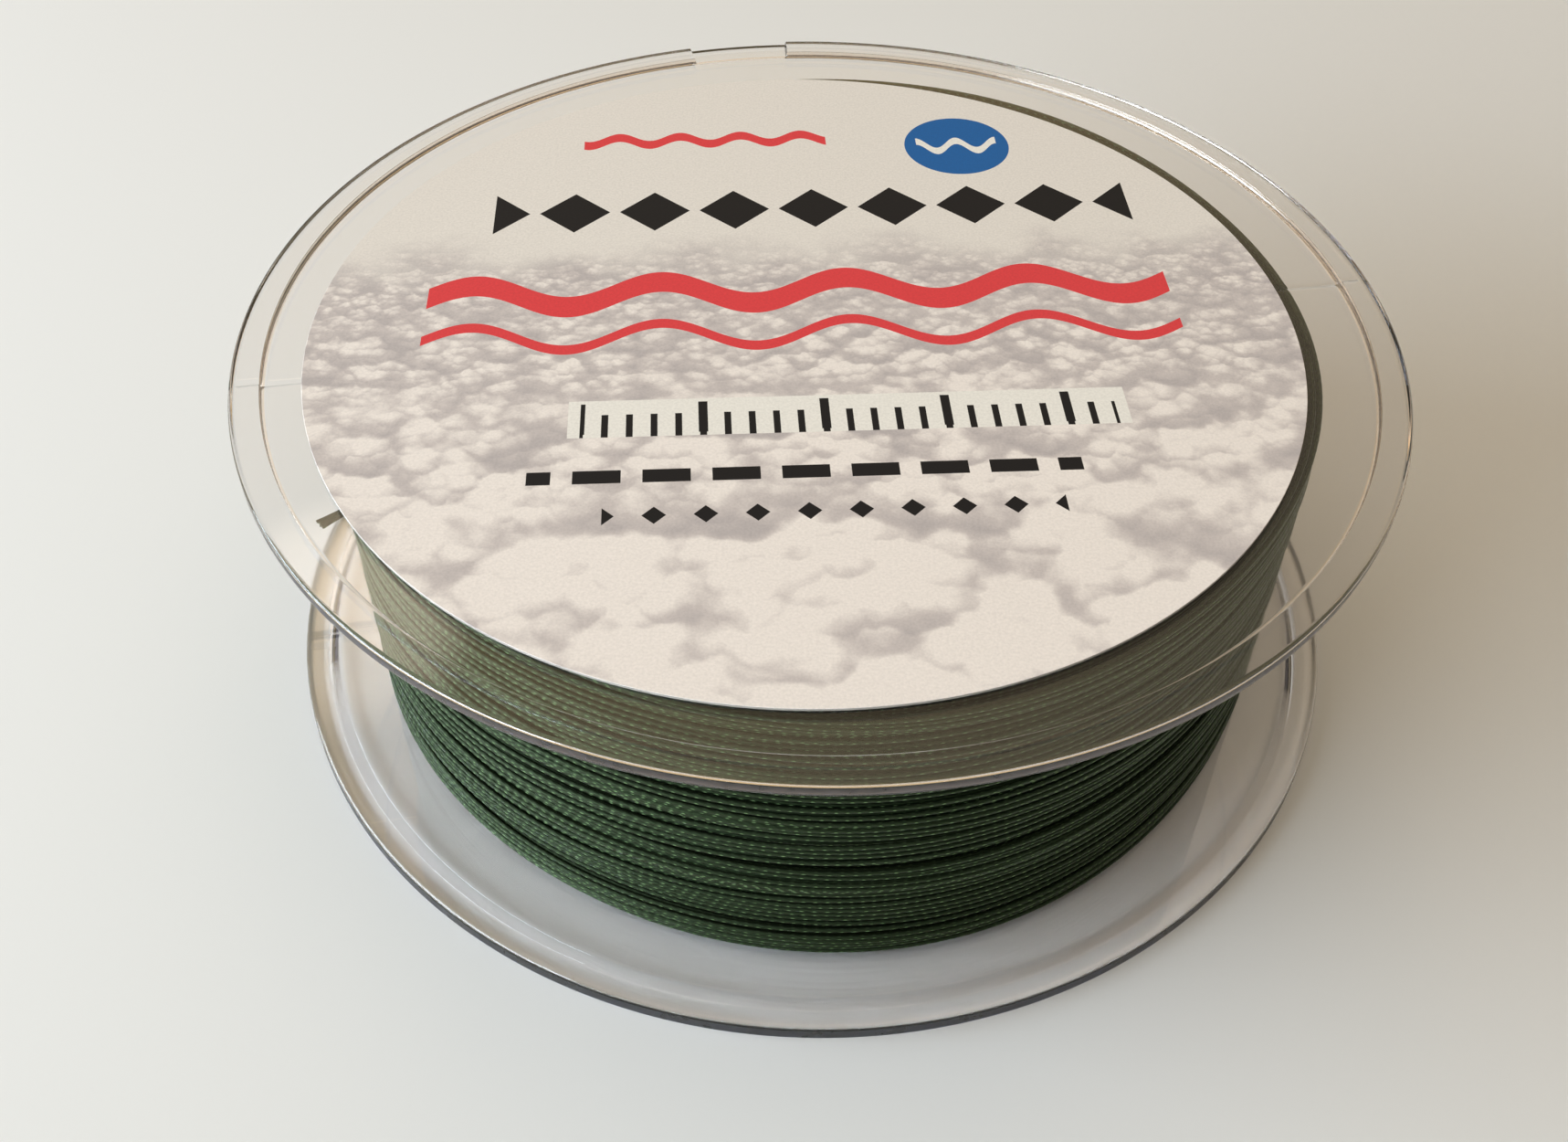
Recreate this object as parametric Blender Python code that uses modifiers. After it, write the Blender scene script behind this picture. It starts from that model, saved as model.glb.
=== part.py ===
"""Fishing line spool: a clear one-piece moulded spool, a paper face label and 300 m of wound braid.

Metres, +Z up. The spool lies on its lower flange. Its axis is the Z axis, and the origin is on that
axis in the plane that the lower flange stands on.
"""

import math

import bmesh
import bpy
import numpy as np

# ---------------------------------------------------------------- driving dimensions (metres)

# Spool body
FLANGE_RADIUS = 0.0500
OVERALL_HEIGHT = 0.0335
PLATE_THICKNESS = 0.00095     # flange plate
LIP_HEIGHT = 0.00055          # raised band on the outer face of each flange
LIP_WIDTH = 0.0026
LIP_DRAFT = 0.0001            # lean of the lip's inner wall
EDGE_ROUND = 0.0003           # round on the flanges' outer edges
BARREL_WALL = 0.0016
BARREL_DRAFT = 0.0003         # the barrel's bore widens by this towards its mouth
BARREL_FILLET = 0.0005        # between barrel and flanges
MOUTH_CHAMFER = 0.0004
WEB_THICKNESS = 0.0012        # disc that closes the barrel under the label
SPINDLE_RADIUS = 0.0050
COLLAR_WALL = 0.0018
COLLAR_DEPTH = 0.0080         # from the web's outer face
NOTCH_WIDTH = 0.0102          # gap in the upper lip, where the line leaves for the next spool
NOTCH_AZIMUTH = math.radians(101.3)
NOTCH_SILL = 0.00005          # height that is left of the lip in the notch

# Line
FREE_DEPTH = 0.0072           # rim standing above the wound line
WOUND_DEPTH = 0.0076          # line on the barrel, measured along a radius
LINE_DIAMETER = 0.00043
LAYER_LOOPS = 24
LAYER_GAP = 0.00045           # between neighbouring loops of the outer layer
LINE_END_LENGTH = 0.0028
LINE_END_FLARE = 1.7          # the cut end spreads to this many diameters
LINE_END_AZIMUTH = math.radians(-147.0)
LINE_END_TURN = math.radians(11.0)    # away from the radius
LINE_END_DROP = 0.0006        # below the upper flange

# Tape that holds the start of the line on the barrel
TAPE_THICKNESS = 0.0001
TAPE_WIDTH = 0.0120
TAPE_LENGTH = 0.0200          # round the barrel
TAPE_AZIMUTH = math.radians(60.0)

# Label
LABEL_MARGIN = 0.0047         # between the label and the lip, were it stuck on true
LABEL_THICKNESS = 0.00015
LABEL_OFFSET = (-0.0013, -0.0006)

# Clearances
LINE_CLEARANCE = 0.0003       # line to spool and line to line
GLUE_GAP = 0.0001             # under the label and under the tape

# Fineness
ROUND_STEPS = 80
ARC_STEPS = 3
LOOP_POINTS = 24

# ---------------------------------------------------------------- sizes that follow

UPPER_FACE = OVERALL_HEIGHT - LIP_HEIGHT
UPPER_INNER = UPPER_FACE - PLATE_THICKNESS
LOWER_FACE = LIP_HEIGHT
LOWER_INNER = LOWER_FACE + PLATE_THICKNESS
LIP_INNER_RADIUS = FLANGE_RADIUS - LIP_WIDTH
WINDING_RADIUS = FLANGE_RADIUS - FREE_DEPTH
BARREL_RADIUS = WINDING_RADIUS - WOUND_DEPTH
BARREL_BORE = BARREL_RADIUS - BARREL_WALL
COLLAR_RADIUS = SPINDLE_RADIUS + COLLAR_WALL
WEB_UNDERSIDE = UPPER_FACE - WEB_THICKNESS
LABEL_RADIUS = LIP_INNER_RADIUS - LABEL_MARGIN
LINE_BOTTOM = LOWER_INNER + LINE_CLEARANCE
LINE_TOP = UPPER_INNER - LINE_CLEARANCE
TAPE_RADIUS = BARREL_RADIUS + GLUE_GAP + TAPE_THICKNESS

# The outer layer's loops share the width between the flanges. The last loop climbs one pitch more,
# so that the layer fills the width from end to end.
LAYER_PITCH = (LINE_TOP - LINE_BOTTOM + LAYER_GAP) / (LAYER_LOOPS + 1)
LAYER_DIAMETER = LAYER_PITCH - LAYER_GAP
LAYER_RADIUS = WINDING_RADIUS - LAYER_DIAMETER / 2
# A loop's straight runs come nearer to the axis than its points do.
CORE_RADIUS = LAYER_RADIUS * math.cos(math.pi / LOOP_POINTS) - LAYER_DIAMETER / 2 - LINE_CLEARANCE
CORE_BORE = TAPE_RADIUS + LINE_CLEARANCE

# ---------------------------------------------------------------- scene and materials


def clear_scene():
    for obj in list(bpy.data.objects):
        bpy.data.objects.remove(obj, do_unlink=True)


def new_collection(name):
    collection = bpy.data.collections.new(name)
    bpy.context.scene.collection.children.link(collection)
    return collection


def material(name, colour, roughness, metallic=0.0, transmission=0.0, ior=1.5):
    """A Principled material; colour is linear RGB."""
    made = bpy.data.materials.new(name)
    made.use_nodes = True
    shader = made.node_tree.nodes["Principled BSDF"]
    shader.inputs["Base Color"].default_value = (*colour, 1.0)
    shader.inputs["Roughness"].default_value = roughness
    shader.inputs["Metallic"].default_value = metallic
    shader.inputs["Transmission Weight"].default_value = transmission
    shader.inputs["IOR"].default_value = ior
    return made


# ---------------------------------------------------------------- shapes


def add_object(name, data, collection, finish=None):
    obj = bpy.data.objects.new(name, data)
    collection.objects.link(obj)
    if finish:
        data.materials.append(finish)
    return obj


def mesh_object(name, build, collection, finish=None):
    """An object whose mesh is what build(bm) makes."""
    mesh = bpy.data.meshes.new(name)
    bm = bmesh.new()
    build(bm)
    bm.to_mesh(mesh)
    bm.free()
    return add_object(name, mesh, collection, finish)


def corner_arc(radius, height, round_radius, start_degrees, sweep_degrees):
    """Points on an arc about (radius, height) in the XZ plane, from start through sweep."""
    points = []
    for step in range(ARC_STEPS + 1):
        angle = math.radians(start_degrees + sweep_degrees * step / ARC_STEPS)
        points.append(
            (radius + round_radius * math.cos(angle), height + round_radius * math.sin(angle))
        )
    return points


def profile_edges(bm, points, closed):
    """Lays (radius, height) points in the XZ plane and joins them in order."""
    verts = [bm.verts.new((radius, 0.0, height)) for radius, height in points]
    for first, second in zip(verts, verts[1:]):
        bm.edges.new((first, second))
    if closed:
        bm.edges.new((verts[-1], verts[0]))


def turned(name, points, collection, finish, sweep=2 * math.pi, steps=ROUND_STEPS):
    """Turns a profile about Z: a closed one all the way round, an open one through part of a turn."""
    whole = math.isclose(sweep, 2 * math.pi)
    obj = mesh_object(name, lambda bm: profile_edges(bm, points, closed=whole), collection, finish)
    screw = obj.modifiers.new("turn", "SCREW")
    screw.axis = "Z"
    screw.angle = sweep
    screw.steps = steps
    screw.render_steps = steps
    screw.use_smooth_shade = True
    screw.use_merge_vertices = whole
    screw.merge_threshold = 1e-6
    return obj


def tube(name, points, diameter, collection, finish, resolution, flare=None):
    """A round tube with closed ends along a list of points."""
    curve = bpy.data.curves.new(name, "CURVE")
    curve.dimensions = "3D"
    curve.twist_mode = "Z_UP"
    curve.bevel_depth = diameter / 2
    curve.bevel_resolution = resolution
    curve.use_fill_caps = True
    spline = curve.splines.new("POLY")
    spline.points.add(len(points) - 1)
    for index, (spot, place) in enumerate(zip(spline.points, points)):
        spot.co = (*place, 1.0)
        if flare:
            spot.radius = flare[index]
    spline.use_smooth = True
    return add_object(name, curve, collection, finish)


def as_helper(obj):
    """Keeps a cutter out of the model."""
    obj.hide_render = True
    obj.display_type = "WIRE"
    return obj


def cut(obj, cutter):
    modifier = obj.modifiers.new("cut", "BOOLEAN")
    modifier.operation = "DIFFERENCE"
    modifier.solver = "EXACT"
    modifier.object = cutter


def block(bm, low, high, azimuth=0.0):
    """A box between two corners, turned about Z."""
    made = bmesh.ops.create_cube(bm, size=1.0)["verts"]
    sizes = [b - a for a, b in zip(low, high)]
    centre = [(a + b) / 2 for a, b in zip(low, high)]
    cosine, sine = math.cos(azimuth), math.sin(azimuth)
    for vert in made:
        x, y, z = (c + s * v for c, s, v in zip(centre, sizes, vert.co))
        vert.co = (x * cosine - y * sine, x * sine + y * cosine, z)


# ---------------------------------------------------------------- spool body


def body_profile():
    """The half section of the moulding: out along the top, down the outer side, in and up the bore."""
    rim = FLANGE_RADIUS - EDGE_ROUND
    fillet = BARREL_RADIUS + BARREL_FILLET
    points = [(SPINDLE_RADIUS, UPPER_FACE), (LIP_INNER_RADIUS, UPPER_FACE)]
    points += [(LIP_INNER_RADIUS + LIP_DRAFT, OVERALL_HEIGHT)]
    points += corner_arc(rim, OVERALL_HEIGHT - EDGE_ROUND, EDGE_ROUND, 90, -90)
    points += corner_arc(rim, UPPER_INNER + EDGE_ROUND, EDGE_ROUND, 0, -90)
    points += corner_arc(fillet, UPPER_INNER - BARREL_FILLET, BARREL_FILLET, 90, 90)
    points += corner_arc(fillet, LOWER_INNER + BARREL_FILLET, BARREL_FILLET, 180, 90)
    points += corner_arc(rim, LOWER_INNER - EDGE_ROUND, EDGE_ROUND, 90, -90)
    points += corner_arc(rim, EDGE_ROUND, EDGE_ROUND, 0, -90)
    points += [(LIP_INNER_RADIUS + LIP_DRAFT, 0.0), (LIP_INNER_RADIUS, LOWER_FACE)]
    points += [(BARREL_BORE + BARREL_DRAFT + MOUTH_CHAMFER, LOWER_FACE)]
    points += [(BARREL_BORE + BARREL_DRAFT, LOWER_FACE + MOUTH_CHAMFER)]
    points += [(BARREL_BORE, WEB_UNDERSIDE), (COLLAR_RADIUS, WEB_UNDERSIDE)]
    points += [(COLLAR_RADIUS, UPPER_FACE - COLLAR_DEPTH), (SPINDLE_RADIUS, UPPER_FACE - COLLAR_DEPTH)]
    return points


def build_notch(bm):
    """The gap in the upper lip, from inside the lip to past the rim."""
    block(
        bm,
        (LIP_INNER_RADIUS - LIP_WIDTH, -NOTCH_WIDTH / 2, UPPER_FACE + NOTCH_SILL),
        (FLANGE_RADIUS + LIP_WIDTH, NOTCH_WIDTH / 2, OVERALL_HEIGHT + LIP_HEIGHT),
        azimuth=NOTCH_AZIMUTH,
    )


def make_body(parts, cutters):
    clear_plastic = material("clear_polystyrene", (0.86, 0.88, 0.88), 0.06, transmission=1.0, ior=1.59)
    body = turned("spool_body", body_profile(), parts, clear_plastic)
    cut(body, as_helper(mesh_object("notch_cutter", build_notch, cutters)))


# ---------------------------------------------------------------- label


def build_label(bm):
    disc = bmesh.ops.create_cone(
        bm,
        cap_ends=True,
        segments=ROUND_STEPS,
        radius1=LABEL_RADIUS,
        radius2=LABEL_RADIUS,
        depth=LABEL_THICKNESS,
    )
    height = UPPER_FACE + GLUE_GAP + LABEL_THICKNESS / 2
    bmesh.ops.translate(bm, verts=disc["verts"], vec=(*LABEL_OFFSET, height))


def make_label(parts):
    mesh_object("face_label", build_label, parts, material("label_paper", (0.66, 0.60, 0.56), 0.7))


# ---------------------------------------------------------------- line


def layer_point(turns):
    """A point on the outer layer's path after this many turns."""
    angle = 2 * math.pi * turns
    height = LINE_BOTTOM + LAYER_DIAMETER / 2 + LAYER_PITCH * turns
    return LAYER_RADIUS * math.cos(angle), LAYER_RADIUS * math.sin(angle), height


def least_gap(points, diameter):
    """The least distance between two stretches of a tube that are half a loop or more apart."""
    spots = np.array(points)
    least = math.inf
    for index in range(len(spots) - LOOP_POINTS // 2):
        others = spots[index + LOOP_POINTS // 2:]
        least = min(least, float(np.linalg.norm(others - spots[index], axis=1).min()))
    return least - diameter


def make_line(parts):
    braid = material("green_braid", (0.028, 0.085, 0.035), 0.45)
    core = [
        (CORE_BORE, LINE_TOP),
        (CORE_RADIUS, LINE_TOP),
        (CORE_RADIUS, LINE_BOTTOM),
        (CORE_BORE, LINE_BOTTOM),
    ]
    turned("line_core", core, parts, braid)

    path = [layer_point(step / LOOP_POINTS) for step in range(LAYER_LOOPS * LOOP_POINTS + 1)]
    tube("line_outer_layer", path, LAYER_DIAMETER, parts, braid, resolution=1)
    print(f"line_outer_layer: least gap to itself {least_gap(path, LAYER_DIAMETER) * 1000:.2f} mm")

    # The cut end sticks out of the top turn, square to the winding but for a slight turn.
    start_radius = WINDING_RADIUS + LINE_CLEARANCE
    start = (start_radius * math.cos(LINE_END_AZIMUTH), start_radius * math.sin(LINE_END_AZIMUTH))
    heading = LINE_END_AZIMUTH + LINE_END_TURN
    end_path = []
    for share in (0.0, 0.5, 1.0):
        reach = LINE_END_LENGTH * share
        end_path.append(
            (
                start[0] + reach * math.cos(heading),
                start[1] + reach * math.sin(heading),
                UPPER_INNER - LINE_END_DROP,
            )
        )
    flare = [1.0, (1.0 + LINE_END_FLARE) / 2, LINE_END_FLARE]
    tube("line_end", end_path, LINE_DIAMETER, parts, braid, resolution=2, flare=flare)


# ---------------------------------------------------------------- start tape


def make_tape(parts):
    """A strip of clear tape bent round the barrel, over the start of the line."""
    middle = (LOWER_INNER + UPPER_INNER) / 2
    edge = [(TAPE_RADIUS, middle + TAPE_WIDTH / 2), (TAPE_RADIUS, middle - TAPE_WIDTH / 2)]
    sweep = TAPE_LENGTH / BARREL_RADIUS
    steps = max(2, round(ROUND_STEPS * sweep / (2 * math.pi)))
    finish = material("tape_film", (0.75, 0.72, 0.62), 0.3)
    tape = turned("start_tape", edge, parts, finish, sweep=sweep, steps=steps)
    tape.rotation_euler.z = TAPE_AZIMUTH - sweep / 2
    skin = tape.modifiers.new("thickness", "SOLIDIFY")
    skin.thickness = TAPE_THICKNESS
    skin.offset = -1.0


def main():
    clear_scene()
    parts = new_collection("fishing_line_spool")
    cutters = new_collection("cutters")
    make_body(parts, cutters)
    make_label(parts)
    make_line(parts)
    make_tape(parts)


main()
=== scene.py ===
"""Looks of the fishing line spool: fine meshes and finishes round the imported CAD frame.

Metres, +Z up, in the frame of the CAD. The spool lies on its lower flange with its axis on Z, and the
camera stands on the -Y side.
"""

from __future__ import annotations

import logging
import math
from dataclasses import dataclass
from enum import Enum
from functools import partial
from typing import Any

import bmesh
import bpy
import numpy as np
from mathutils import Matrix, Vector

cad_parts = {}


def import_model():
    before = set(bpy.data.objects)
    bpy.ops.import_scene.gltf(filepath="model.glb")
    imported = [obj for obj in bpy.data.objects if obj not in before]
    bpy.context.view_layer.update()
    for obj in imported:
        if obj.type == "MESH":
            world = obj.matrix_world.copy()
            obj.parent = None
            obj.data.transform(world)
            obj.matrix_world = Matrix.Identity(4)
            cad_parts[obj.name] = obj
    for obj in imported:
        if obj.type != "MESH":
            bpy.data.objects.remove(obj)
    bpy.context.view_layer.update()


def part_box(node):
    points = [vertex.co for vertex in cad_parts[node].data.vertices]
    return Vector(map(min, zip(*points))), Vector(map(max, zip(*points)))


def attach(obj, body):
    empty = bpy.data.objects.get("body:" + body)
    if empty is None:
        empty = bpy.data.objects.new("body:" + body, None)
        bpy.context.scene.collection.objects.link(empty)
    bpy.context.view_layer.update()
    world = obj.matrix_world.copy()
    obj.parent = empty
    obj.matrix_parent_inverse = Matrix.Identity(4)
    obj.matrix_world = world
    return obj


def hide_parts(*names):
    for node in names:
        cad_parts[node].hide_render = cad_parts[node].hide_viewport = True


LOG = logging.getLogger("spool")
MM = 0.001
TURN = 2 * math.pi
LINE_DIAMETER = 0.43 * MM
LABEL_SINK = 0.012 * MM                # the label's adhesive wets the plastic, with no film of air
TAPE_GAP = 0.2 * MM
WELD = 1e-7                            # points nearer than this are one point
COLOURS = {"data_type": "RGBA", "out": 2}  # what a mix node takes and gives for colours
Socket = bpy.types.NodeSocket
Point = tuple[float, float]
Colour = tuple[float, float, float, float]

# ---------------------------------------------------------------- nodes and colours


def linear(colour: str) -> Colour:
    """Turns an sRGB hex colour into the linear RGBA that shaders take.

    Args:
        colour: Such as "#dcd0c0".

    Returns:
        Linear red, green, blue and an alpha of 1.
    """
    channels = [int(colour[place:place + 2], 16) / 255 for place in (1, 3, 5)]
    red, green, blue = (
        value / 12.92 if value <= 0.04045 else ((value + 0.055) / 1.055) ** 2.4 for value in channels
    )
    return red, green, blue, 1.0


def add_node(
    tree: bpy.types.NodeTree,
    kind: str,
    inputs: dict[str | int, Any] | tuple = (),
    out: str | int = 0,
    stops: list[tuple[float, Colour]] | None = None,
    **settings: Any,
) -> Socket:
    """Adds one shader node with its settings and links.

    Args:
        tree: The node tree.
        kind: The node's type name, less the word ShaderNode.
        inputs: What each input takes, by name or in order: another node's output, or a constant.
        out: The output to hand back.
        stops: A colour ramp's places and colours.
        **settings: The node's own properties.

    Returns:
        The chosen output of the new node.
    """
    node = tree.nodes.new("ShaderNode" + kind)
    for name, value in settings.items():
        setattr(node, name, value)
    for name, value in inputs.items() if isinstance(inputs, dict) else enumerate(inputs):
        if isinstance(value, bpy.types.NodeSocket):
            tree.links.new(value, node.inputs[name])
        else:
            node.inputs[name].default_value = value
    if stops:
        ramp = node.color_ramp.elements
        while len(ramp) < len(stops):
            ramp.new(1.0)
        for element, (place, colour) in zip(ramp, stops):
            element.position = place
            element.color = colour
    return node.outputs[out]


def seen_directly(node: partial) -> Socket:
    """Whether a ray comes from the camera, a gloss or a clear piece, as 0 or 1.

    Args:
        node: add_node bound to the tree.

    Returns:
        The mask.
    """
    path = node("LightPath").node.outputs
    mirrored = node("Math", (path["Is Camera Ray"], path["Is Glossy Ray"]), operation="MAXIMUM")
    return node("Math", (mirrored, path["Is Transmission Ray"]), operation="MAXIMUM")


# ---------------------------------------------------------------- mesh tools


def lattice(
    name: str,
    grid: np.ndarray,
    closed: tuple[bool, bool],
    caps: bool = False,
    strand: np.ndarray | None = None,
    crease: float = 40.0,
) -> bpy.types.Object:
    """Makes a smooth mesh through a grid of points, with its faces turned outwards.

    Args:
        name: The object's name.
        grid: Points as rows x columns x 3.
        closed: Whether the rows, and the columns, run round to their start.
        caps: Whether the first and last row are filled.
        strand: UV of each grid corner, one row and column more than the grid where that side is closed.
        crease: Edges that turn by more degrees than this stay sharp.

    Returns:
        The new object, in the scene.
    """
    rows, columns = grid.shape[:2]
    row = np.arange(rows if closed[0] else rows - 1)[:, None]
    column = np.arange(columns if closed[1] else columns - 1)[None, :]
    next_row, next_column = (row + 1) % rows, (column + 1) % columns
    corners = [
        row * columns + column,
        row * columns + next_column,
        next_row * columns + next_column,
        next_row * columns + column,
    ]
    faces = np.stack([c.ravel() for c in corners], axis=1).tolist()
    if caps:
        faces += [list(range(columns)), list(range((rows - 1) * columns, rows * columns))]
    mesh = bpy.data.meshes.new(name)
    mesh.from_pydata(grid.reshape(-1, 3).tolist(), [], faces)
    if strand is not None:
        ends = [strand[:-1, :-1], strand[:-1, 1:], strand[1:, 1:], strand[1:, :-1]]
        quads = np.stack(ends, axis=2).reshape(-1, 2)
        values = np.zeros((len(mesh.loops), 2))
        values[: len(quads)] = quads
        mesh.uv_layers.new(name="strand").data.foreach_set("uv", values.ravel())
    tidy = bmesh.new()
    tidy.from_mesh(mesh)
    bmesh.ops.remove_doubles(tidy, verts=tidy.verts, dist=WELD)
    bmesh.ops.recalc_face_normals(tidy, faces=tidy.faces)
    tidy.to_mesh(mesh)
    tidy.free()
    mesh.shade_smooth()
    mesh.set_sharp_from_angle(angle=math.radians(crease))
    made = bpy.data.objects.new(name, mesh)
    bpy.context.scene.collection.objects.link(made)
    return made


def rounded_outline(corners: list[tuple[float, float, float]], steps: int = 6) -> list[Point]:
    """Rounds the corners of a closed outline and adds points next to each round.

    The added points keep the shading of flat faces flat, with the whole turn inside the round.

    Args:
        corners: Radius, height and round of each corner, in order.
        steps: Steps along each round.

    Returns:
        The outline's points.
    """
    support = 0.06 * MM
    points: list[Point] = []
    for index, (x, z, size) in enumerate(corners):
        here = Vector((x, z))
        before = (Vector(corners[index - 1][:2]) - here).normalized()
        after = (Vector(corners[(index + 1) % len(corners)][:2]) - here).normalized()
        half = before.angle(after) / 2
        reach = size / math.tan(half)
        centre = here + (before + after).normalized() * (size / math.sin(half))
        start, end = here + before * reach, here + after * reach
        points.append(tuple(start + before * support))
        for step in range(steps + 1):
            spoke = (start - centre).slerp(end - centre, step / steps)
            points.append(tuple(centre + spoke.normalized() * size))
        points.append(tuple(end + after * support))
    return points


def turned(section: list[Point], azimuths: np.ndarray, middle: Point = (0.0, 0.0)) -> np.ndarray:
    """Turns a section about an upright axis.

    Args:
        section: Radius and height of each point.
        azimuths: The angles at which it is repeated.
        middle: Where the axis stands.

    Returns:
        A grid of azimuths x section points x 3.
    """
    radius, height = np.array(section).T
    grid = np.empty((len(azimuths), len(radius), 3))
    grid[..., 0] = middle[0] + np.outer(np.cos(azimuths), radius)
    grid[..., 1] = middle[1] + np.outer(np.sin(azimuths), radius)
    grid[..., 2] = height
    return grid


def dress(piece: bpy.types.Object, material: bpy.types.Material, slot: str, *stands_for: str) -> None:
    """Gives a piece its finish, ties it to the body and hides the CAD nodes that it stands for.

    Args:
        piece: The new piece.
        material: Its material.
        slot: The name of its material slot; not used.
        *stands_for: CAD nodes.
    """
    piece.data.materials.append(material)
    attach(piece, "root")
    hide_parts(*stands_for)
    LOG.info("%s: %d faces", piece.name, len(piece.data.polygons))


# ---------------------------------------------------------------- finishes


class Finish:
    """One real material and how its surface was made. Each kind lays its own nodes."""

    name: str

    def shade(self, node: partial) -> Socket:
        """Lays the nodes.

        Args:
            node: add_node bound to the material's tree.

        Returns:
            The surface shader.
        """
        raise NotImplementedError

    def make(self) -> bpy.types.Material:
        """Makes the material."""
        material = bpy.data.materials.new(self.name)
        material.use_nodes = True
        tree = material.node_tree
        tree.nodes.clear()
        output = tree.nodes.new("ShaderNodeOutputMaterial")
        tree.links.new(self.shade(partial(add_node, tree)), output.inputs["Surface"])
        return material


@dataclass(frozen=True)
class MouldedPolystyrene(Finish):
    """Clear polystyrene, moulded: each face copies the wall of the mould that it set against."""

    name: str
    # The colour of the light through it. On the frosted and the satin walls it is painted shade and painted
    # light: the plastic there is as clear as elsewhere.
    tint_and_painted_light: str
    smooth: float                 # roughness of the smoothest patches
    coarse: float                 # roughness of the coarsest ones
    patch_size: float = 1.6 * MM
    patch_edges: tuple[float, float] = (0.35, 0.65)
    patch_detail: float = 2.0
    relief_size: float = 0.35 * MM
    relief_detail: float = 2.0
    relief_depth: float = 0.01 * MM
    ior: float = 1.59

    def shade(self, node: partial) -> Socket:
        """Lays the nodes.

        Args:
            node: add_node bound to the tree.

        Returns:
            The surface shader.
        """
        place = node("TexCoord", out="Object")
        clouds = {"Scale": 1 / self.patch_size, "Detail": self.patch_detail}
        patches = node("TexNoise", {"Vector": place, **clouds})
        low, high = self.patch_edges
        spread = {"From Min": low, "From Max": high, "To Min": self.smooth, "To Max": self.coarse}
        rough = node("MapRange", {"Value": patches, **spread})
        waves = {"Scale": 1 / self.relief_size, "Detail": self.relief_detail}
        relief = node("TexNoise", {"Vector": place, **waves})
        normal = node("Bump", {"Height": relief, "Distance": self.relief_depth, "Strength": 1.0})
        return node(
            "BsdfPrincipled",
            {
                "Base Color": linear(self.tint_and_painted_light),
                "Roughness": rough,
                "IOR": self.ior,
                "Transmission Weight": 1.0,
                "Normal": normal,
            },
        )


# Against polished steel: glass-clear, with long faint waves where the melt flowed and scuffs in patches.
POLISHED = MouldedPolystyrene(
    "clear_polystyrene_moulded", "#fbfafb", smooth=0.015, coarse=0.065,
    patch_size=18.0 * MM, patch_edges=(0.45, 0.8), patch_detail=3.0,
    relief_size=14.0 * MM, relief_detail=1.0, relief_depth=0.008 * MM,
)
# Against a turned wall: fine tool marks frost it unevenly. Its blue-grey tint is painted shade with a painted
# cool reflection, so that the wall reads as a blue-grey band.
FROSTED = MouldedPolystyrene("clear_polystyrene_frosted_painted_shade", "#555a7c", smooth=0.26, coarse=0.46)
# Against a less polished wall: satin, so that what lies behind it shows as a soft line, made cream by painted
# warm light in its tint.
SATIN = MouldedPolystyrene("clear_polystyrene_satin_painted_light", "#fbe4cc", smooth=0.12, coarse=0.22)


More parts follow.
